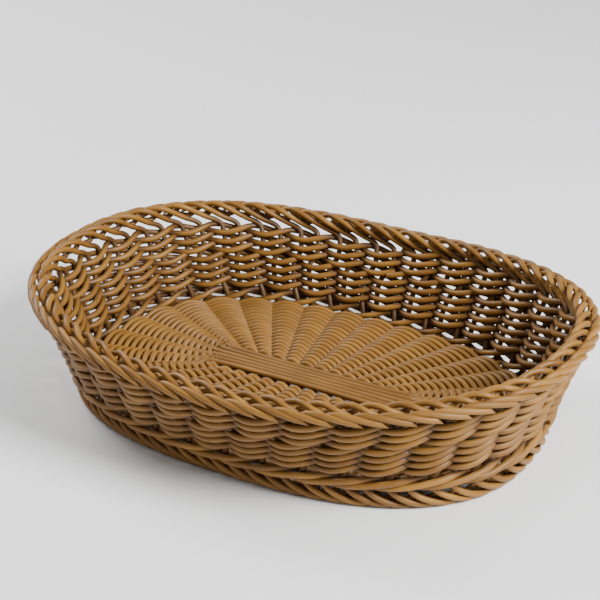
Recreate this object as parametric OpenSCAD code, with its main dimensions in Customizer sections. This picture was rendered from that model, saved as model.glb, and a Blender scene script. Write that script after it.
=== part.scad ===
// Oval bread basket woven from round plastic strands.
// Frame: X along the long axis, Y across, Z up, origin at the centre of the flat footprint.
// Every strand is one solid: its route is a list of stations [u, n, h], where u counts stake
// pitches round the wall (counter-clockwise from above), n is the level distance outwards
// from the wall's middle surface and h is the height where the rim has its average height.

/* [Overall size] */
// Half length of the rim, to the middle of its border
rim_half_length = 167.4; // [140:0.1:200]
// Half width of the rim, to the middle of its border
rim_half_width = 124.8; // [105:0.1:150]
// Squareness of the rim oval, where 2 is an ellipse
rim_squareness = 2.32; // [2:0.01:3]
// Height of the border's middle, averaged round the rim
rim_height = 70; // [60:0.5:90]
// How much the rim rises at the ends and dips at the sides
rim_wave = 4.6; // [0:0.1:8]
// Half length of the foot ring
foot_half_length = 144.5; // [120:0.1:175]
// Half width of the foot ring
foot_half_width = 95.2; // [80:0.1:120]
// Squareness of the foot oval, where 2 is an ellipse
foot_squareness = 2.52; // [2:0.01:3.2]
// How far the wall curves inwards half way up at the two ends
wall_hollow = 2.5; // [0:0.5:7]

/* [Strands] */
// Diameter of the stakes and the base strands
strand_d = 3.6; // [3:0.1:4]
// Diameter of the strands woven round the stakes, which are drawn a little thicker
weaver_d = 3.8; // [3:0.1:4]
// Pairs of side stakes round the wall
stake_pairs = 34; // [34:1:34]
// Share of a pair's pitch between its two stakes
pair_closeness = 0.45; // [0.4:0.01:0.5]
// Corners of a swept strand's cross-section
strand_sides = 5; // [5:1:8]

/* [Weave] */
// Rows of pairing in the upper band
upper_rows = 3; // [2:1:3]
// Height of the lowest row of the upper band
upper_start = 45.2; // [44.5:0.1:48]
// Height between rows of the upper band
upper_pitch = 5.7; // [5:0.1:5.8]
// Rows of pairing in the lower band
lower_rows = 4; // [3:1:4]
// Height of the lowest row of the lower band
lower_start = 24.1; // [23.5:0.1:25]
// Height between rows of the lower band
lower_pitch = 5.4; // [4.8:0.1:5.4]
// Height of the three-strand wale above the foot
wale_height = 17.8; // [17:0.1:18.5]

/* [Base] */
// Height of the middle of the stick layer
base_height = 14.4; // [13:0.1:18]
// Short sticks across the base
cross_sticks = 11; // [11:1:11]
// Distance between neighbouring short sticks where they pass under the long ones
cross_spacing = 10; // [8:0.5:11]
// Long sticks along the base
long_sticks = 6; // [6:1:6]
// Rounds of pairing on the base
base_rounds = 12; // [8:1:12]

/* [Hidden] */

strand_r = strand_d / 2;
stakes = 2 * stake_pairs;
pair_pitch = 2;
floor_cut = 400;
strand_colour = [0.66, 0.47, 0.27];
stake_colour = [0.60, 0.42, 0.24];
base_colour = [0.55, 0.39, 0.22];

// Where the weaving crosses between pairs, in stake pitches from the middle of the gap
upper_crossing = -0.2;
lower_crossing = 0.2;

// Foot stroke of a stake, from its tip inside the foot up to the stake: [u, n, h]
foot_stroke = [[3.9, -4, 5.5], [3.1, -2, 3], [2.4, 1.2, 1.6], [1.6, 3.2, 3.6],
    [0.8, 3.3, 8], [0, 0, 15]];
// Rim stroke of a stake, measured from the border's middle: inside, over the top, in behind
// the next strokes and out again to a cut tip
rim_stroke = [[0, -0.3, -7.5], [0.6, -2.4, -3.2], [1.3, -4.9, 2.6], [2, -1.2, 5.7],
    [2.6, 1.2, 3.9], [3.3, -0.4, -1], [4, 1.9, -0.4], [4.6, 4.5, 2.9], [5.4, 6.1, 0.6],
    [6.3, 6.6, -3]];

// One wave of pairing: outside one pair of stakes, inside the next
stake_step = pair_closeness;
pairing_wave = [[-stake_step, 1, -1], [stake_step, 1, 1],
    [pair_pitch - stake_step, -1, 1], [pair_pitch + stake_step, -1, -1]];
// One wave of the three-strand wale: outside two pairs, inside one
wale_wave = [[0, 0, -1], [1, 1, -0.6], [2, 1.15, 0], [3, 1, 0.6], [4, 0, 1], [5, -1, 0]];
wale_strands = 3;

// Share of the row pitch by which a weaver of a pairing rises and falls
pairing_lift = 0.35;

// Base: short sticks with the long sticks over them; beyond their knees all of them fan out,
// so that their tips come to the wall midway between the pairs of stakes
long_knee = 56;
cross_knee = 15;
bundle_spacing = 4.2;
edge_gap = 2.5;
round_centre = 50;
first_round = 17;
last_round = 89;
round_step = (last_round - first_round) / (base_rounds - 1);

// Names of the numbered nodes
function two_digits(i) = i < 10 ? str("0", i) : str(i);
function pair_name(i) = str("side_stake_pair_", two_digits(i));
function stick_name(start, i) = str(start, two_digits(i));

// Radius at a polar angle of an oval with half axes a and b and squareness n
function oval_r(angle, a, b, n) =
    pow(pow(abs(cos(angle)) / a, n) + pow(abs(sin(angle)) / b, n), -1 / n);

// Share of the way up the wall, 0 at the foot and 1 at the rim, for a height h
function level(h) = (h - strand_r) / (rim_height - strand_r);

// Height of the border's middle at a polar angle
function rim_z(angle) = rim_height + rim_wave * cos(2 * angle);

// How far the wall lies inside a straight one at a polar angle and a height
function hollow(angle, h) =
    wall_hollow * pow(cos(angle), 2) * 4 * level(h) * (1 - level(h));

// Distance of the wall from the Z axis at a polar angle and a height
function wall_r(angle, h) =
    oval_r(angle, foot_half_length, foot_half_width, foot_squareness) * (1 - level(h))
    + oval_r(angle, rim_half_length, rim_half_width, rim_squareness) * level(h)
    - hollow(angle, h);

// Point on the wall's middle surface
function wall_point(angle, h) =
    let (r = wall_r(angle, h))
    [r * cos(angle), r * sin(angle), strand_r + level(h) * (rim_z(angle) - strand_r)];

// Level direction square to the wall, pointing outwards
function unit(v) = v / norm(v);
function wall_out(angle, h) =
    let (along = wall_point(angle + 0.5, h) - wall_point(angle - 0.5, h))
    unit([along[1], -along[0], 0]);

// Polar angle against distance round the wall, in stake pitches, so that stakes are even
arc_steps = 180;
half_way_up = rim_height / 2;
arc_points = [for (i = [0 : arc_steps]) wall_point(360 * i / arc_steps, half_way_up)];
arc_lengths = [for (i = 0, length = 0; i <= arc_steps;
    length = length + (i < arc_steps ? norm(arc_points[i + 1] - arc_points[i]) : 0),
    i = i + 1) length];
angle_table = [for (i = [0 : arc_steps])
    [arc_lengths[i] / arc_lengths[arc_steps] * stakes, 360 * i / arc_steps]];
function angle_at(u) = lookup(u - stakes * floor(u / stakes), angle_table);

// Outward direction and point of a station [u, n, h]. Above the rim's middle the wall goes on
// straight up, so that the border keeps its shape all round.
function station_out(s) = wall_out(angle_at(s[0]), min(s[2], rim_height));
function station_point(s) =
    wall_point(angle_at(s[0]), min(s[2], rim_height))
    + s[1] * station_out(s) + [0, 0, max(s[2] - rim_height, 0)];

// A round strand of diameter d swept through its centres, closed at both ends; outs are
// directions across it
module tube(centres, outs, d) {
    last = len(centres) - 1;
    sides = strand_sides;
    points = [for (i = [0 : last])
        let (
            along = unit(centres[min(i + 1, last)] - centres[max(i - 1, 0)]),
            side = unit(outs[i] - (outs[i] * along) * along),
            up = cross(along, side))
        for (k = [0 : sides - 1])
            centres[i] + d / 2 * (cos(360 * k / sides) * side
                + sin(360 * k / sides) * up)];
    start_cap = [[for (k = [0 : sides - 1]) k]];
    end_cap = [[for (k = [sides - 1 : -1 : 0]) last * sides + k]];
    walls = [for (i = [0 : last - 1], k = [0 : sides - 1])
        let (
            next = (k + 1) % sides,
            here = i * sides,
            there = here + sides)
        each [[here + k, there + k, there + next], [here + k, there + next, here + next]]];
    polyhedron(points = points, faces = concat(start_cap, walls, end_cap), convexity = 8);
}

// A strand of the wall along its stations
module strand(stations, d) {
    tube([for (s = stations) station_point(s)], [for (s = stations) station_out(s)], d);
}

// Stations of one stake that stands at u
function stake_stations(u) = concat(
    [for (s = foot_stroke) [u + s[0], s[1], s[2]]],
    [for (s = rim_stroke) [u + s[0], s[1], rim_height + s[2]]]);

// Two side stakes, each one strand from the foot border to the rim border, pressed flat
// where they stand
module side_stake_pair(i) {
    color(stake_colour)
    intersection() {
        union() {
            strand(stake_stations(pair_pitch * (i - 1) - pair_closeness), strand_d);
            strand(stake_stations(pair_pitch * (i - 1) + pair_closeness), strand_d);
        }
        translate([-floor_cut / 2, -floor_cut / 2, 0])
        cube(floor_cut);
    }
}

// Stations of a weaver that climbs one pitch in each turn
function weaver_stations(wave, period, turns, phase, start, pitch, reach, lift) =
    [for (j = [0 : floor(turns * stakes / period) - 1], s = wave)
        let (u = phase + j * period + s[0])
        [u, reach * s[1], start + pitch * u / stakes + lift * s[2]]];

// A weaver of a pairing band; two of them, one pair apart, twist round the stakes
module pairing_weaver(rows, start, pitch, phase) {
    turns = rows - pair_pitch / stakes;
    color(strand_colour)
    strand(weaver_stations(pairing_wave, 2 * pair_pitch, turns, phase, start, pitch,
        strand_d, pairing_lift * pitch), weaver_d);
}

// A strand of the wale, one round long
module wale_strand(i) {
    period = wale_strands * pair_pitch;
    color(strand_colour)
    strand(weaver_stations(wale_wave, period, 1, i * pair_pitch + 1, wale_height, 0,
        strand_d, strand_d), weaver_d);
}

// Tip of a base stick, just inside the wall at u stake pitches round
function stick_tip(u) =
    let (
        angle = angle_at(u),
        reach = wall_r(angle, base_height) - edge_gap)
    [reach * cos(angle), reach * sin(angle), base_height];

// A stick of the base through its two tips and two knees
module base_stick(centres) {
    color(base_colour)
    tube(centres, [for (c = centres) [0, 0, 1]], strand_d);
}

// Short stick across the base
module base_cross_stick(i) {
    place = i - (cross_sticks + 1) / 2;
    tip = stick_tip(stakes / 4 - place * pair_pitch);
    knee = [place * cross_spacing, cross_knee, base_height];
    base_stick([[tip[0], -tip[1], tip[2]], [knee[0], -knee[1], knee[2]], knee, tip]);
}

// Long stick over the short ones
module base_long_stick(i) {
    row = i - (long_sticks + 1) / 2;
    tip = stick_tip(row * pair_pitch);
    knee = [long_knee, row * bundle_spacing, base_height + strand_d];
    base_stick([[-tip[0], tip[1], tip[2]], [-knee[0], knee[1], knee[2]], knee, tip]);
}

// One closed round of a base weaver
module base_round(radius) {
    for (side = [0, 180]) {
        rotate([0, 0, side])
        translate([round_centre, 0, 0])
        rotate([0, 0, -90])
        rotate_extrude(angle = 180, $fn = 96)
        translate([radius, 0])
        circle(d = strand_d, $fn = 32);
        rotate([0, 0, side])
        translate([-round_centre, radius, 0])
        rotate([0, 90, 0])
        cylinder(h = 2 * round_centre, d = strand_d, $fn = 32);
    }
}

// A base weaver, on the upper or the lower face of the sticks
module base_weaver(side) {
    color(strand_colour)
    translate([0, 0, base_height + side * strand_d])
    for (i = [0 : base_rounds - 1])
        base_round(first_round + i * round_step);
}

for (i = [1 : stake_pairs])
    side_stake_pair(i);
pairing_weaver(upper_rows, upper_start, upper_pitch, 1 + upper_crossing);  // upper_weaver_a
pairing_weaver(upper_rows, upper_start, upper_pitch, 1 + pair_pitch + upper_crossing);  // upper_weaver_b
pairing_weaver(lower_rows, lower_start, lower_pitch, lower_crossing);  // lower_weaver_a
pairing_weaver(lower_rows, lower_start, lower_pitch, pair_pitch + lower_crossing);  // lower_weaver_b
wale_strand(0);  // wale_strand_a
wale_strand(1);  // wale_strand_b
wale_strand(2);  // wale_strand_c
for (i = [1 : cross_sticks])
    base_cross_stick(i);
for (i = [1 : long_sticks])
    base_long_stick(i);
base_weaver(1);  // base_weaver_over
base_weaver(-1);  // base_weaver_under
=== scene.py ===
# %% [markdown]
# # An oval bread basket, strand by strand
# The basket is hand-woven from one kind of round plastic strand. Nothing in it is a wall or a
# sheet: what looks like a wall is a few long weavers twisting round upright stakes. So the
# model is made the same way. Every strand is a round tube swept along the route that a
# weaver's hands would give it, and the open gaps between strands come by themselves.

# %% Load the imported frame
import math

import bpy
import numpy as np
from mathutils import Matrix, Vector


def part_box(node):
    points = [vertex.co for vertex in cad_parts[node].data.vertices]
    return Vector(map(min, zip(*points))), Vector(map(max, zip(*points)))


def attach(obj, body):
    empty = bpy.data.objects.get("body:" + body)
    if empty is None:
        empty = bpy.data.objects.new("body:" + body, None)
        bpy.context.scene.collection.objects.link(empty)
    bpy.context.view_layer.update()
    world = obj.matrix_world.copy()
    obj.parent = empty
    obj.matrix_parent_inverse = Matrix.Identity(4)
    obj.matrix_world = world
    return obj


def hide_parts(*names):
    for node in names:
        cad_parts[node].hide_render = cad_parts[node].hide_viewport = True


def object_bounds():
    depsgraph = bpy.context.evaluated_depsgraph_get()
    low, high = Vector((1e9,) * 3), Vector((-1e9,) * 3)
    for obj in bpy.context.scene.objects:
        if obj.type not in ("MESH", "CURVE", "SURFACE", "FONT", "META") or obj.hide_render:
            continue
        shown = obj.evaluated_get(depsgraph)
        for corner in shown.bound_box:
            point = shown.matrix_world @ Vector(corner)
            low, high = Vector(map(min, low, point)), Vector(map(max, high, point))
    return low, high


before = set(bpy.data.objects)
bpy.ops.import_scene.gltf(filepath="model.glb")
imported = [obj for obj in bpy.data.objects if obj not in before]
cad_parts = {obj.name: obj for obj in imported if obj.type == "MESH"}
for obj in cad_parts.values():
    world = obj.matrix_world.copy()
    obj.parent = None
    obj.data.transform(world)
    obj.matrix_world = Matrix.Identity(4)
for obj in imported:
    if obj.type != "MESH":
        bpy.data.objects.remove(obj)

cad_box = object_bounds()
low, high = (np.array(corner) for corner in cad_box)
print("CAD box, mm:", np.round((high - low) * 1000, 1))

# %% [markdown]
# ## The wall that the strands follow
# A basket's wall is nearly a ruled surface: a straight line leads from the foot oval up to
# the rim oval, and only at the two ends the wall is a little hollow. Both ovals are
# superellipses, a little squarer than an ellipse. A strand could be drawn
# straight in space, but it is easier to say where it is in the weaver's own terms: how many
# stakes round, how far out of the wall, and how high. One function then turns those three
# numbers into a place.

# %% Driving sizes, in metres
MM = 0.001
STRAND_D = 3.6 * MM
STRAND_R = STRAND_D / 2
WEAVER_R = 1.97 * MM
PAIRS = 34
STAKES = 2 * PAIRS
PAIR_PITCH = 2.0
PAIR_CLOSENESS = 0.45
BORDER_REACH = 7.6 * MM
RIM_HEIGHT = 70 * MM
RIM_WAVE = 4.6 * MM
RIM_SQUARENESS = 2.32
FOOT_SQUARENESS = 2.52
FOOT_LENGTH_SHARE = 0.863
FOOT_WIDTH_SHARE = 0.763
WALL_HOLLOW = 2.5 * MM
ANGLE_STEP = 0.005

rim_half = high[:2] - BORDER_REACH
foot_half = rim_half * [FOOT_LENGTH_SHARE, FOOT_WIDTH_SHARE]
print("rim half axes, mm:", np.round(rim_half / MM, 1), "foot:", np.round(foot_half / MM, 1))


# %% The wall surface
def oval_r(angle, half, squareness):
    """Radius of a superellipse: (|cos/a|^n + |sin/b|^n) to the power -1/n."""
    x = np.abs(np.cos(angle)) / half[0]
    y = np.abs(np.sin(angle)) / half[1]
    return (x ** squareness + y ** squareness) ** (-1 / squareness)


def wall(angle, h):
    """Point on the wall. Radius = the foot and rim radii mixed by height, less a hollow that is
    deepest half way up at the two ends. Height = the given one stretched, so that the rim
    rises at the ends and dips at the sides."""
    level = (h - STRAND_R) / (RIM_HEIGHT - STRAND_R)
    r = (oval_r(angle, foot_half, FOOT_SQUARENESS) * (1 - level)
         + oval_r(angle, rim_half, RIM_SQUARENESS) * level
         - WALL_HOLLOW * np.cos(angle) ** 2 * 4 * level * (1 - level))
    top = RIM_HEIGHT + RIM_WAVE * np.cos(2 * angle)
    z = STRAND_R + level * (top - STRAND_R)
    return np.stack([r * np.cos(angle), r * np.sin(angle), z], axis=-1)


def unit(v):
    """Each vector divided by its own length."""
    return v / np.linalg.norm(v, axis=-1, keepdims=True)


def wall_out(angle, h):
    """Level direction square to the wall: the direction round the wall turned outwards."""
    along = wall(angle + ANGLE_STEP, h) - wall(angle - ANGLE_STEP, h)
    return unit(np.stack([along[..., 1], -along[..., 0], 0 * along[..., 0]], axis=-1))


ARC_STEPS = 720
arc_angles = np.linspace(0, 2 * math.pi, ARC_STEPS + 1)
arc_points = wall(arc_angles, np.full(ARC_STEPS + 1, RIM_HEIGHT / 2))
arc_steps = np.linalg.norm(np.diff(arc_points, axis=0), axis=1)
arc_lengths = np.concatenate([[0], np.cumsum(arc_steps)])
arc_stakes = arc_lengths / arc_lengths[-1] * STAKES


def angle_at(u):
    """Polar angle of a place u stake pitches round the wall, so that stakes stand evenly."""
    turns = np.floor(u / STAKES)
    return 2 * math.pi * turns + np.interp(u - turns * STAKES, arc_stakes, arc_angles)


def place(stations):
    """Stations [u, n, h] to points and outward directions: the wall point moved n outwards.
    Above the middle of the rim border the wall goes on straight up."""
    angle = angle_at(stations[:, 0])
    h = np.minimum(stations[:, 2], RIM_HEIGHT)
    out = wall_out(angle, h)
    points = wall(angle, h) + stations[:, 1:2] * out
    points[:, 2] += stations[:, 2] - h
    return points, out


print("stake pitch half way up, mm:", round(arc_lengths[-1] / STAKES / MM, 2))

# %% [markdown]
# ## One strand
# A strand could be a curve object with a round bevel. A tube worked out as a grid gives more:
# rings are spaced evenly along the real length, the cut end can be slanted as a knife leaves
# it, and each point can carry where it is in the strand, which the finish needs for its
# lengthwise streaks.

# %% Smooth routes
RING_STEP = 1.5 * MM
WANDER_WAVES = (1, 1.7, 2.9)


def smooth_route(points, samples=12):
    """Catmull-Rom curve: each stretch is the cubic set by the four points around it."""
    points = np.asarray(points, float)
    padded = np.concatenate([2 * points[:1] - points[1:2], points, 2 * points[-1:] - points[-2:-1]])
    t = np.arange(samples)[:, None, None] / samples
    a, b, c, d = padded[:-3], padded[1:-2], padded[2:-1], padded[3:]
    curve = 0.5 * (2 * b + (c - a) * t + (2 * a - 5 * b + 4 * c - d) * t ** 2
                   + (3 * b - a - 3 * c + d) * t ** 3)
    curve = curve.transpose(1, 0, 2).reshape(-1, points.shape[1])
    return np.concatenate([curve, points[-1:]])


def even_steps(points, extra, step):
    """Points again at even distances along the line, and the values in extra at the same places."""
    lengths = np.concatenate([[0], np.cumsum(np.linalg.norm(np.diff(points, axis=0), axis=1))])
    count = max(int(round(lengths[-1] / step)), 2)
    at = np.linspace(0, lengths[-1], count + 1)
    both = np.concatenate([points, extra], axis=1)
    resampled = np.stack([np.interp(at, lengths, column) for column in both.T], axis=1)
    return resampled[:, :3], resampled[:, 3:], at


def wander(at, rng, size, wavelength):
    """Slow unevenness of hand work: three sine waves with random phases, averaged."""
    phases = rng.uniform(0, 2 * math.pi, len(WANDER_WAVES))
    waves = [np.sin(2 * math.pi * at / (wavelength * k) + phase)
             for k, phase in zip(WANDER_WAVES, phases)]
    return size * sum(waves) / len(WANDER_WAVES)


print("one ring of a tube every", RING_STEP / MM, "mm")

# %% The swept tube
STRAND_SIDES = 12
CUT_FADE = 8 * MM


def tube_grid(points, outs, at, radius, cut_start=0.0, cut_end=0.0):
    """Rings of points round a route. Ring k at angle a is centre + r (cos a side + sin a up),
    where side is the outward direction made square to the route and up completes the pair.
    A slanted cut slides each point along the route by cut times its height in the ring."""
    along = unit(np.gradient(points, axis=0))
    side = unit(outs - np.sum(outs * along, axis=1, keepdims=True) * along)
    up = np.cross(side, along)
    turn = 2 * math.pi * np.arange(STRAND_SIDES) / STRAND_SIDES
    cos, sin = np.cos(turn)[None, :, None], np.sin(turn)[None, :, None]
    grid = points[:, None] + radius * (cos * side[:, None] + sin * up[:, None])
    for cut, distance in ((cut_start, at), (cut_end, at[-1] - at)):
        slide = cut * np.clip(1 - distance / CUT_FADE, 0, 1)[:, None, None]
        grid = grid + slide * sin * along[:, None]
    offset = np.broadcast_to(np.concatenate([cos, sin], axis=2), (len(at), STRAND_SIDES, 2))
    return grid, offset * radius


print("sides of a tube:", STRAND_SIDES)

# %% [markdown]
# ## Open and hidden parts of a strand
# Where strands lie behind strands, little light gets in. A baked
# shadow would need an image, and a light's shadow alone leaves the gaps too pale. So each
# point of a strand is given a number that says how open it lies, and the finish paints shade into
# the colour where it is low.

# %% How open each point lies
# These set where the painted shade deep in the weave begins and where it has faded out.
CLOSED_WITHIN = 1.6 * MM
OPEN_BEYOND = 4.6 * MM
COVERED_LOW = 7 * MM
COVERED_HIGH = 67 * MM


def openness(heart, offset):
    """How open to the air each point is: its distance from the heart of the weave, where
    strands lie behind strands, scaled to run from 0 to 1. heart holds each ring's distance
    out of the wall and its height above or below the band that is covered on both faces, and
    the distance is the root of their squares added, taken at the point itself."""
    n = heart[:, :1] + offset[:, :, 0]
    beyond = heart[:, 1:]
    rise = np.maximum(np.abs(beyond) + offset[:, :, 1] * np.sign(beyond), 0)
    distance = np.hypot(n, rise)
    return np.clip((distance - CLOSED_WITHIN) / (OPEN_BEYOND - CLOSED_WITHIN), 0, 1)


print("covered on both faces, mm:", COVERED_LOW / MM, "to", COVERED_HIGH / MM)


# %% Corners and faces of a tube
def tube_mesh(points, outs, at, heart, radius, shift, cut_start=0.0, cut_end=0.0):
    """Corners, faces and per-point values of one closed tube with a flat cap at each end."""
    grid, offset = tube_grid(points, outs, at, radius, cut_start, cut_end)
    rings = len(at)
    start, end = grid[0].mean(axis=0), grid[-1].mean(axis=0)
    corners = np.concatenate([grid.reshape(-1, 3), [start, end]])
    i = np.arange(rings - 1)[:, None] * STRAND_SIDES
    k = np.arange(STRAND_SIDES)[None, :]
    following = (k + 1) % STRAND_SIDES
    quads = np.stack([i + k, i + STRAND_SIDES + k, i + STRAND_SIDES + following,
                      i + following], axis=2)
    last = (rings - 1) * STRAND_SIDES
    centre = rings * STRAND_SIDES
    k, following = k[0], following[0]
    start_cap = np.stack([np.full(STRAND_SIDES, centre), k, following], axis=1)
    end_cap = np.stack([np.full(STRAND_SIDES, centre + 1), last + following, last + k], axis=1)
    places = np.zeros((len(corners), 3))
    places[:centre, 0] = np.repeat(at + shift, STRAND_SIDES)
    places[:centre, 1:] = offset.reshape(-1, 2)
    places[centre:, 0] = [shift, at[-1] + shift]
    rims = np.zeros(len(corners), bool)
    rims[:STRAND_SIDES] = True
    rims[last:centre] = True
    opens = np.ones(len(corners))
    if heart is not None:
        opens[:centre] = openness(heart, offset).ravel()
    return corners, quads.reshape(-1, 4), np.concatenate([start_cap, end_cap]), places, rims, opens


# %% Putting strands into a piece
SHIFT_PER_STRAND = 5
rng = np.random.default_rng(34)
material_of = {}
made = {"pieces": 0, "strands": 0, "length": 0.0, "triangles": 0}


def add_piece(name, strands, slot):
    """One mesh object from the tubes of its strands. Each strand gets a tone of its own, and
    its places start at a length of its own, so that no two strands look alike."""
    corners, quads, caps, places, rims, opens, tones = [], [], [], [], [], [], []
    base = 0
    for points, outs, at, heart, radius, cuts in strands:
        shift = SHIFT_PER_STRAND * made["strands"]
        c, q, t, p, r, o = tube_mesh(points, outs, at, heart, radius, shift, *cuts)
        corners.append(c)
        quads.append(q + base)
        caps.append(t + base)
        places.append(p)
        rims.append(r)
        opens.append(o)
        tones.append(np.full(len(c), rng.uniform(0, 1)))
        base += len(c)
        made["strands"] += 1
        made["length"] += at[-1]
    corners, quads, caps = np.concatenate(corners), np.concatenate(quads), np.concatenate(caps)
    mesh = bpy.data.meshes.new(name)
    mesh.vertices.add(len(corners))
    mesh.vertices.foreach_set("co", corners.ravel())
    loops = np.concatenate([quads.ravel(), caps.ravel()])
    mesh.loops.add(len(loops))
    mesh.loops.foreach_set("vertex_index", loops)
    mesh.polygons.add(len(quads) + len(caps))
    starts = np.concatenate([4 * np.arange(len(quads)), 4 * len(quads) + 3 * np.arange(len(caps))])
    mesh.polygons.foreach_set("loop_start", starts)
    mesh.update(calc_edges=True)
    mesh.polygons.foreach_set("use_smooth", np.ones(len(starts), bool))
    place_attribute = mesh.attributes.new("strand_place", "FLOAT_VECTOR", "POINT")
    place_attribute.data.foreach_set("vector", np.concatenate(places).ravel())
    tone_attribute = mesh.attributes.new("strand_tone", "FLOAT", "POINT")
    tone_attribute.data.foreach_set("value", np.concatenate(tones))
    # How open each point lies: the finish paints shade into the colour where this is low.
    open_attribute = mesh.attributes.new("strand_open", "FLOAT", "POINT")
    open_attribute.data.foreach_set("value", np.concatenate(opens))
    ends = np.empty(2 * len(mesh.edges), int)
    mesh.edges.foreach_get("vertices", ends)
    sharp = mesh.attributes.new("sharp_edge", "BOOLEAN", "EDGE")
    sharp.data.foreach_set("value", np.concatenate(rims)[ends.reshape(-1, 2)].all(axis=1))
    piece = bpy.data.objects.new(name, mesh)
    bpy.context.scene.collection.objects.link(piece)
    mesh.materials.append(material_of[slot])
    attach(piece, "root")
    made["pieces"] += 1
    made["triangles"] += 2 * len(quads) + len(caps)
    return piece


def wall_strand(stations, radius=STRAND_R, cuts=(0.0, 0.0)):
    """A strand of the wall from its stations, unevenness included, with rings evenly spaced."""
    stations = np.array(stations, float)
    points, outs = place(stations)
    covered = np.clip(stations[:, 2], COVERED_LOW, COVERED_HIGH)
    heart = np.stack([stations[:, 1], stations[:, 2] - covered], axis=1)
    points, extra, at = even_steps(points, np.concatenate([outs, heart], axis=1), RING_STEP)
    return points, unit(extra[:, :3]), at, extra[:, 3:], radius, cuts


# %% [markdown]
# ## The finish
# The strand is extruded plastic made to pass for cane: tan, with a soft sheen, fine lines
# along its length where the die left them, and a slow drift between lighter and darker
# stretches. One node group works this out for all strands. It reads the place of each point
# in its own strand, so the streaks run along every strand, round every bend, and it paints
# shade into the colour of the points that lie deep in the weave.

# %% Helpers for node trees
def socket(group, name, kind, direction, default=None):
    """A named input or output of a node group."""
    made_socket = group.interface.new_socket(name=name, in_out=direction, socket_type=kind)
    if default is not None:
        made_socket.default_value = default


def node(tree, kind, links=(), **values):
    """A node with its properties and plain input values set, and links made to its inputs."""
    new = tree.nodes.new(kind)
    for key, value in values.items():
        setattr(new, key, value)
    for name, source in links:
        target = new.inputs[name]
        if hasattr(source, "is_output"):
            tree.links.new(source, target)
        else:
            target.default_value = source
    return new


def mixed(tree, factor, first, second, blend="MIX"):
    """Colour mix of two colours by a factor; returns the result socket."""
    mix = tree.nodes.new("ShaderNodeMix")
    mix.data_type = "RGBA"
    mix.blend_type = blend
    sources = ((mix.inputs[0], factor), (mix.inputs[6], first), (mix.inputs[7], second))
    for target, source in sources:
        if hasattr(source, "is_output"):
            tree.links.new(source, target)
        else:
            target.default_value = source
    return mix.outputs[2]


def ranged(tree, value, from_low, from_high, to_low, to_high):
    """A value moved from one range to another and clamped there."""
    links = [("Value", value), ("From Min", from_low), ("From Max", from_high),
             ("To Min", to_low), ("To Max", to_high)]
    return node(tree, "ShaderNodeMapRange", links).outputs["Result"]


def noise(tree, vector, scale, detail=2.0, roughness=0.5):
    """Noise value at a vector; returns its factor socket."""
    links = [("Vector", vector), ("Scale", scale), ("Detail", detail), ("Roughness", roughness)]
    return node(tree, "ShaderNodeTexNoise", links).outputs[0]


def stretched(tree, vector, along, across):
    """The strand place scaled differently along and across the strand, for streaks."""
    scale = (along, across, across)
    mapping = node(tree, "ShaderNodeMapping", [("Vector", vector), ("Scale", scale)])
    return mapping.outputs["Vector"]


# %% The shared strand pattern
# Painted shade: deep in the weave the colour is darkened towards this dark brown by up to this
# share, in place of the shade between strands.
PAINTED_SHADE_STRENGTH = 0.75
PAINTED_SHADE_COLOUR = (0.035, 0.014, 0.006, 1)
DRIFT_SHARE = 0.55
TONE_SHARE = 0.45


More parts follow.
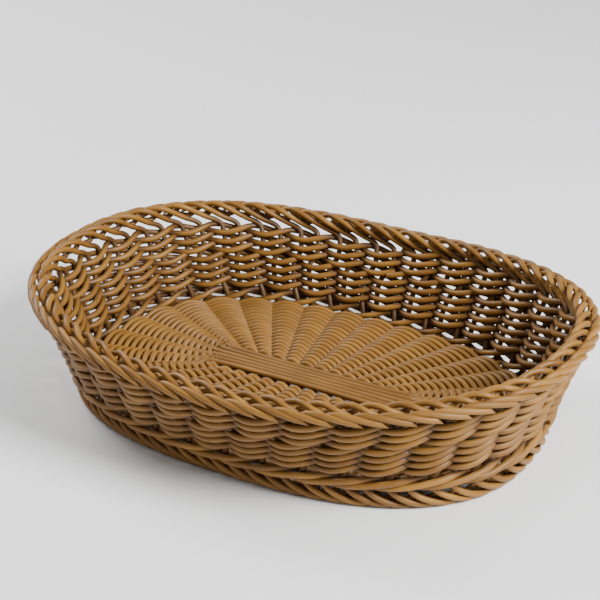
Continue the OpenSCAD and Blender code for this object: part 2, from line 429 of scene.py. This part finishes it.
def strand_pattern():
    """Group: light and dark colours and a roughness in; colour, roughness and height out.
    Colour = dark to light by drift and the strand's own tone, then streaks and specks of the
    dark colour, fine lines of the light one, and painted shade deep in the weave."""
    group = bpy.data.node_groups.new("strand_pattern", "ShaderNodeTree")
    socket(group, "Light", "NodeSocketColor", "INPUT", (0.5, 0.3, 0.12, 1))
    socket(group, "Dark", "NodeSocketColor", "INPUT", (0.3, 0.15, 0.05, 1))
    socket(group, "Roughness", "NodeSocketFloat", "INPUT", 0.4)
    socket(group, "Color", "NodeSocketColor", "OUTPUT")
    socket(group, "Roughness", "NodeSocketFloat", "OUTPUT")
    socket(group, "Height", "NodeSocketFloat", "OUTPUT")
    entry = group.nodes.new("NodeGroupInput").outputs
    strand_place = node(group, "ShaderNodeAttribute",
                        attribute_name="strand_place").outputs["Vector"]
    tone = node(group, "ShaderNodeAttribute", attribute_name="strand_tone").outputs["Fac"]
    opened = node(group, "ShaderNodeAttribute", attribute_name="strand_open").outputs["Fac"]

    drift = noise(group, stretched(group, strand_place, 30, 60), 1.0, 3.0)
    streaks = noise(group, stretched(group, strand_place, 25, 1400), 1.0, 4.0, 0.6)
    fine = noise(group, stretched(group, strand_place, 60, 3600), 1.0, 2.0)
    specks = noise(group, stretched(group, strand_place, 900, 1800), 1.0, 2.0)

    drift_share = ranged(group, drift, 0.3, 0.7, 0.0, 1.0)
    blend = node(group, "ShaderNodeMath", [(0, drift_share), (1, DRIFT_SHARE)],
                 operation="MULTIPLY")
    tone_share = node(group, "ShaderNodeMath", [(0, tone), (1, TONE_SHARE)],
                      operation="MULTIPLY")
    total = node(group, "ShaderNodeMath", [(0, blend.outputs[0]), (1, tone_share.outputs[0])],
                 operation="ADD")
    body = mixed(group, total.outputs[0], entry["Dark"], entry["Light"])
    streak_share = ranged(group, streaks, 0.45, 0.72, 0.0, 0.55)
    streaked = mixed(group, streak_share, body, entry["Dark"])
    pale = ranged(group, fine, 0.55, 0.8, 0.0, 0.35)
    lit = mixed(group, pale, streaked, entry["Light"])
    dirty = ranged(group, specks, 0.62, 0.75, 0.0, 0.5)
    specked = mixed(group, dirty, lit, entry["Dark"])
    # Painted shade: where a point lies closed in the weave, its colour is mixed towards a dark
    # brown.
    painted_shade_share = ranged(group, opened, 0.0, 1.0, PAINTED_SHADE_STRENGTH, 0.0)
    colour = mixed(group, painted_shade_share, specked, PAINTED_SHADE_COLOUR)

    rough_add = ranged(group, streaks, 0.3, 0.7, -0.06, 0.10)
    rough = node(group, "ShaderNodeMath", [(0, entry["Roughness"]), (1, rough_add)],
                 operation="ADD")
    ridge = node(group, "ShaderNodeMath", [(0, streaks), (1, 0.6)], operation="MULTIPLY")
    height = node(group, "ShaderNodeMath", [(0, ridge.outputs[0]), (1, fine)], operation="ADD")
    leave = group.nodes.new("NodeGroupOutput").inputs
    group.links.new(colour, leave["Color"])
    group.links.new(rough.outputs[0], leave["Roughness"])
    group.links.new(height.outputs[0], leave["Height"])
    return group


pattern = strand_pattern()
print("nodes in the strand pattern:", len(pattern.nodes))

# %% The three strand materials
GROOVE_DEPTH = 0.1 * MM
BUMP_STRENGTH = 0.6
SOFT_SHEEN = 0.3


def strand_material(slot, light, dark, roughness):
    """Plastic cane of one part of the basket: the shared pattern into one Principled BSDF."""
    material = bpy.data.materials.new(slot)
    material.use_nodes = True
    tree = material.node_tree
    shader = tree.nodes["Principled BSDF"]
    weave = node(tree, "ShaderNodeGroup", node_tree=pattern)
    weave.inputs["Light"].default_value = light
    weave.inputs["Dark"].default_value = dark
    weave.inputs["Roughness"].default_value = roughness
    raised = node(tree, "ShaderNodeBump", [("Height", weave.outputs["Height"]),
                                           ("Strength", BUMP_STRENGTH),
                                           ("Distance", GROOVE_DEPTH)])
    tree.links.new(weave.outputs["Color"], shader.inputs["Base Color"])
    tree.links.new(weave.outputs["Roughness"], shader.inputs["Roughness"])
    tree.links.new(raised.outputs["Normal"], shader.inputs["Normal"])
    shader.inputs["Specular IOR Level"].default_value = SOFT_SHEEN
    material_of[slot] = material


strand_material("stake_strand", (0.32, 0.155, 0.028, 1), (0.110, 0.044, 0.006, 1), 0.45)
strand_material("weaver_strand", (0.32, 0.155, 0.028, 1), (0.110, 0.044, 0.006, 1), 0.45)
strand_material("base_strand", (0.28, 0.135, 0.025, 1), (0.100, 0.040, 0.006, 1), 0.48)
print("materials:", ", ".join(sorted(material_of)))

# %% [markdown]
# ## Side stakes and their two borders
# A stake is one strand with three jobs. Its foot end is laid down and outwards into the foot
# border, its middle stands in the wall, and its top is laid to the right into the rim border.
# All stakes do the same, each one place further round, and that alone makes both plaited
# borders. So one route is written down, and each stake gets it at its own place.

# %% Stake routes
# Stations [u, n, h]: stake pitches from the stake, mm out of the wall and mm up, the rim
# stroke's from the middle of its border
FOOT_STROKE = np.array([[3.9, -4, 5.5], [3.1, -2, 3], [2.4, 1.2, 1.7], [1.6, 3.2, 3.6],
                        [0.8, 3.3, 8], [0.25, 1.3, 12.5], [0, 0, 17]]) * [1, MM, MM]
UPRIGHT = np.array([[0.2, 0, 27], [0.2, 0, 40], [-0.2, 0, 49]]) * [1, MM, MM]
RIM_STROKE = np.array([[-0.2, 0, -10], [0, -0.3, -6.5], [0.5, -1.8, -3.6], [1, -4.3, 0.2],
                       [1.4, -5.1, 3.4], [1.8, -3.9, 5.3], [2.2, -1.3, 5.6], [2.55, 0.6, 3.9],
                       [2.9, 0, 1.3], [3.25, -0.9, -1.6], [3.6, 0.3, -2.4], [4, 2, -0.8],
                       [4.25, 3.2, 2], [4.65, 4.6, 3.4], [5.3, 6.1, 2.2], [5.9, 6.4, 0.3],
                       [6.4, 6.3, -1.2]]) * [1, MM, MM]
TIP_CUT = -2.4 * MM
LOWEST_HEART = 1.7 * MM


def stake_route(u):
    """Stations of one stake at u: foot stroke, upright that gives way to the weave and rim
    stroke in one smooth curve, plus a little wander, and never below the table."""
    foot = FOOT_STROKE + [u, 0, 0]
    rim = RIM_STROKE + [u, 0, RIM_HEIGHT]
    route = smooth_route(np.concatenate([foot, UPRIGHT + [u, 0, 0], rim]))
    route[:, 0] += wander(route[:, 2], rng, 0.05, 30 * MM)
    route[:, 1] += wander(route[:, 2], rng, 0.15 * MM, 25 * MM)
    route[:, 2] += wander(route[:, 0], rng, 0.25 * MM, 3)
    route[:, 2] = np.maximum(route[:, 2], LOWEST_HEART)
    return route


for pair in range(1, PAIRS + 1):
    middle = PAIR_PITCH * (pair - 1)
    strands = [wall_strand(stake_route(middle + side * PAIR_CLOSENESS), STRAND_R, (0.0, TIP_CUT))
               for side in (-1, 1)]
    piece = add_piece(f"stakes_{pair:02d}", strands, "stake_strand")
    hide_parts(f"side_stake_pair_{pair:02d}")
print("stakes:", made)

# %% [markdown]
# ## Pairing
# Two weavers twist round the stakes: while one is outside a pair, the other is inside, and
# between pairs they change over. A bumpy sheet with a pattern of strokes would be quicker to
# make, but it has no gaps and no depth. In the weaver's terms each weaver is a wave: out and
# in along the wall's normal, and a quarter turn behind it, up and down. The lower band
# splits the pairs of stakes and takes neighbours together instead, which sets its columns
# between those of the upper band.

# %% The two bands of pairing
# first: the stake where the band starts, counted counter-clockwise from the +X end; rows:
# turns round the wall; start: height of the first row; pitch: height between rows;
# crossing: how far past the middle of a gap the weavers change over, in stake pitches
UPPER = {"first": 17, "rows": 3, "start": 46.6 * MM, "pitch": 5.65 * MM, "crossing": -0.2}
LOWER = {"first": 1, "rows": 4.24, "start": 24.1 * MM, "pitch": 5.4 * MM, "crossing": 0.2}
REACH = 4.1 * MM
FULLNESS = 0.8
LIFT_SHARE = 0.33
SAG = 0.45 * MM
ROUTE_STEP = 0.1


def pairing_route(band, phase):
    """Stations of one weaver. With w the wave angle, half a turn per pair: out = REACH times a
    flattened cosine of w, height = a slow climb of one row each turn + a third of a pitch
    times sin w, less a small sag at the middle of every stroke."""
    u = np.arange(0, band["rows"] * STAKES, ROUTE_STEP) + band["first"]
    w = math.pi * (u - phase) / PAIR_PITCH
    out = REACH * np.tanh(FULLNESS * np.cos(w)) / math.tanh(FULLNESS)
    climb = band["start"] + band["pitch"] * (u - band["first"]) / STAKES
    h = climb + LIFT_SHARE * band["pitch"] * np.sin(w) - SAG * np.cos(2 * w)
    out = out + wander(u, rng, 0.2 * MM, 9)
    h = h + wander(u, rng, 0.25 * MM, 13)
    return np.stack([u, out, h], axis=1)


for band, offset, label in ((UPPER, 0, "upper"), (LOWER, 1, "lower")):
    for letter, phase in (("a", 0), ("b", PAIR_PITCH)):
        route = pairing_route(band, offset + band["crossing"] + phase)
        strand = wall_strand(route, WEAVER_R)
        piece = add_piece(f"{label}_pairing_{letter}", [strand], "weaver_strand")
        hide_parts(f"{label}_weaver_{letter}")
print("pairing:", made)

# %% [markdown]
# ## The wale
# Three strands, each outside two pairs and then inside one, make a thicker rope-like line
# above the foot. Three plain rings would not do, because the look of a rope comes from the
# strands changing places. So one wave is written down and repeated once round, and each
# strand starts it a pair further on than the one before.

# %% The wale
WALE_HEIGHT = 17.8 * MM
WALE_REACH = STRAND_D
WALE_LIFT = 0.95 * STRAND_D
WALE_WAVE = np.array([[0, 0, -1], [1, 1, -0.6], [2, 1.15, 0], [3, 1, 0.6], [4, 0, 1], [5, -1, 0]])


def wale_route(start):
    """Stations of one wale strand: the wave's points repeated every six stakes, until the
    strand has gone once round."""
    period = len(WALE_WAVE)
    repeats = int(STAKES / period) + 1
    waves = np.concatenate([WALE_WAVE + [i * period, 0, 0] for i in range(repeats)])
    waves = waves[:STAKES + 1]
    stations = waves * [1, WALE_REACH, WALE_LIFT] + [start, 0, WALE_HEIGHT]
    return smooth_route(stations)


for number, letter in enumerate("abc"):
    route = wale_route(number * PAIR_PITCH + 1)
    piece = add_piece(f"wale_{letter}", [wall_strand(route, WEAVER_R)], "weaver_strand")
    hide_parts(f"wale_strand_{letter}")
print("wale:", made)

# %% [markdown]
# ## The base
# An oval base starts from short sticks side by side with long sticks over them. The long
# ones fan out at both ends, and two weavers twist round all the stick ends until they meet
# the wall. A disc would close the gaps that let crumbs fall through, so each stick and
# weaver is a strand here too. Their route uses terms like the wall's: which stick, and what
# share of the way out from the bundle to the wall.

# %% Sticks of the base
cross_low, cross_high = (np.array(c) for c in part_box("base_cross_stick_06"))
BASE_HEIGHT = (cross_low[2] + cross_high[2]) / 2
CROSS_STICKS = 11
CROSS_SPACING = 10 * MM
CROSS_KNEE = 15 * MM
LONG_STICKS = 6
LONG_KNEE = 56 * MM
BUNDLE_SPACING = 4.2 * MM
EDGE_GAP = 2.5 * MM
CROSS_SHARES = [0.0, 0.3, 0.7, 1.0]
LONG_SHARES = [0.0, 0.2, 0.6, 1.0]
LONG_LIFTS = [1.0, 0.75, 0.3, 0.0]


def stick_tip(u):
    """Where a stick meets the wall: on the wall's oval u stake pitches round, less a gap."""
    edge = wall(angle_at(np.array(float(u))), np.array(BASE_HEIGHT))[:2]
    return edge * (1 - EDGE_GAP / np.linalg.norm(edge))


def straight_strand(points):
    """A strand through a few points of space, its upward direction kept."""
    route = smooth_route(np.array(points, float))
    ups = np.tile([0.0, 0.0, 1.0], (len(route), 1))
    points, ups, at = even_steps(route, ups, 2 * RING_STEP)
    return points, ups, at, None, STRAND_R, (0.0, 0.0)


cross_places = np.arange(CROSS_STICKS) - (CROSS_STICKS - 1) / 2
cross_knees = np.stack([cross_places * CROSS_SPACING, np.full(CROSS_STICKS, CROSS_KNEE)], axis=1)
cross_tips = np.array([stick_tip(STAKES / 4 - place * PAIR_PITCH) for place in cross_places])
for number, (knee, tip) in enumerate(zip(cross_knees, cross_tips), start=1):
    half = [[*((1 - share) * knee + share * tip), BASE_HEIGHT] for share in CROSS_SHARES]
    line = [[x, -y, z] for x, y, z in reversed(half)] + half
    piece = add_piece(f"cross_stick_{number:02d}", [straight_strand(line)], "base_strand")
    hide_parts(f"base_cross_stick_{number:02d}")

rows = np.arange(LONG_STICKS) - (LONG_STICKS - 1) / 2
long_knees = np.stack([np.full(LONG_STICKS, LONG_KNEE), rows * BUNDLE_SPACING], axis=1)
long_tips = np.array([stick_tip(row * PAIR_PITCH) for row in rows])
for number, (knee, tip) in enumerate(zip(long_knees, long_tips), start=1):
    half = [[*((1 - share) * knee + share * tip), BASE_HEIGHT + lift * STRAND_D]
            for share, lift in zip(LONG_SHARES, LONG_LIFTS)]
    line = [[-x, y, z] for x, y, z in reversed(half)] + half
    piece = add_piece(f"long_stick_{number:02d}", [straight_strand(line)], "base_strand")
    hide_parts(f"base_long_stick_{number:02d}")
print("sticks:", made)

# %% Where the base weavers cross the sticks
KNEE_REACH = 1.09
KNEE_SPREAD = 1.25
SPOKE_SAMPLES = 8


def spoke_ends():
    """Inner and outer end of every stick end, counter-clockwise from the +X fan's lowest."""
    right = long_knees * [KNEE_REACH, KNEE_SPREAD]
    top = cross_knees[::-1]
    inner = np.concatenate([right, top, -right, -top])
    outer = np.concatenate([long_tips, cross_tips[::-1], -long_tips, -cross_tips[::-1]])
    return inner, outer


inner_ends, outer_ends = spoke_ends()
SPOKES = len(inner_ends)
spoke_inner = smooth_route(np.concatenate([inner_ends, inner_ends[:2]]), SPOKE_SAMPLES)
spoke_outer = smooth_route(np.concatenate([outer_ends, outer_ends[:2]]), SPOKE_SAMPLES)
spoke_at = np.arange(len(spoke_inner)) / SPOKE_SAMPLES
print("stick ends round the base:", SPOKES)

# %% Weavers of the base
BASE_ROUNDS = 17
WOVEN_SHARE = 0.97
BASE_WAVE = 0.85 * STRAND_D


def base_route(side):
    """Points of one base weaver. v counts sticks. The share of the way out grows evenly with
    v, the place is the inner and outer ends mixed by that share, and the height is a cosine
    of v: over one stick and under the next, the other weaver doing the opposite."""
    v = np.arange(-SPOKES / 2, BASE_ROUNDS * SPOKES, ROUTE_STEP)
    share = WOVEN_SHARE * np.maximum(v / SPOKES, 0) / BASE_ROUNDS
    around = v % SPOKES
    ends = [np.stack([np.interp(around, spoke_at, column) for column in table.T], axis=1)
            for table in (spoke_inner, spoke_outer)]
    flat = ends[0] * (1 - share[:, None]) + ends[1] * share[:, None]
    z = BASE_HEIGHT + BASE_WAVE * (side * np.cos(math.pi * v))
    return np.concatenate([flat, z[:, None]], axis=1)


for side, label in ((1, "over"), (-1, "under")):
    route = base_route(side)
    ups = np.tile([0.0, 0.0, 1.0], (len(route), 1))
    points, ups, at = even_steps(route, ups, RING_STEP)
    strand = (points, ups, at, None, STRAND_R, (0.0, 0.0))
    piece = add_piece(f"base_pairing_{label}", [strand], "base_strand")
    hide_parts(f"base_weaver_{label}")
print("base:", made)

# %% [markdown]
# ## Floor, light and camera
# A pale floor, a soft light high on the right, a weaker one on the left and a bright
# surrounding are all that is needed. Both lights stand beyond the ends of the basket, so the
# long side near the camera is lit mostly by the surrounding, and every strand shows its
# round form.

# %% Floor
FLOOR_SIZE = 8.0
FLOOR_COLOUR = (0.80, 0.80, 0.80, 1)
FLOOR_ROUGHNESS = 0.9
floor_mesh = bpy.data.meshes.new("floor")
corner = FLOOR_SIZE / 2
floor_mesh.from_pydata([(-corner, -corner, 0), (corner, -corner, 0), (corner, corner, 0),
                        (-corner, corner, 0)], [], [(0, 1, 2, 3)])
floor = bpy.data.objects.new("floor", floor_mesh)
bpy.context.scene.collection.objects.link(floor)
floor_material = bpy.data.materials.new("pale_floor")
floor_material.use_nodes = True
floor_shader = floor_material.node_tree.nodes["Principled BSDF"]
floor_shader.inputs["Base Color"].default_value = FLOOR_COLOUR
floor_shader.inputs["Roughness"].default_value = FLOOR_ROUGHNESS
floor_mesh.materials.append(floor_material)
print("floor, m:", FLOOR_SIZE)

# %% Lights
SURROUNDING = 0.45


def area_light(name, place_at, size, power, target=(0, 0, 0.04)):
    """A soft square light that faces the target."""
    light = bpy.data.lights.new(name, "AREA")
    light.size = size
    light.energy = power
    lamp = bpy.data.objects.new(name, light)
    lamp.location = place_at
    lamp.rotation_euler = (Vector(target) - Vector(place_at)).to_track_quat("-Z", "Y").to_euler()
    bpy.context.scene.collection.objects.link(lamp)
    print("light", name, power, "W")


area_light("key", place_at=(1.3, -0.1, 1.1), size=0.7, power=72)
area_light("far", place_at=(-1.3, 0.3, 1.1), size=0.8, power=28)
world = bpy.data.worlds.new("studio")
world.use_nodes = True
world.node_tree.nodes["Background"].inputs["Color"].default_value = (1, 1, 1, 1)
world.node_tree.nodes["Background"].inputs["Strength"].default_value = SURROUNDING
bpy.context.scene.world = world

# %% Camera
CAMERA_AT = Vector((0.4588, -0.7799, 0.4944))
CAMERA_TO = Vector((-0.0446, 0.0660, 0.0335))
SENSOR_WIDTH = 36
LENS = 99.6
camera_data = bpy.data.cameras.new("camera")
camera_data.sensor_width = SENSOR_WIDTH
camera_data.lens = LENS
camera = bpy.data.objects.new("camera", camera_data)
camera.location = CAMERA_AT
camera.rotation_euler = (CAMERA_TO - CAMERA_AT).to_track_quat("-Z", "Y").to_euler()
bpy.context.scene.collection.objects.link(camera)
bpy.context.scene.camera = camera
print("camera to basket, m:", round((CAMERA_TO - CAMERA_AT).length, 2))
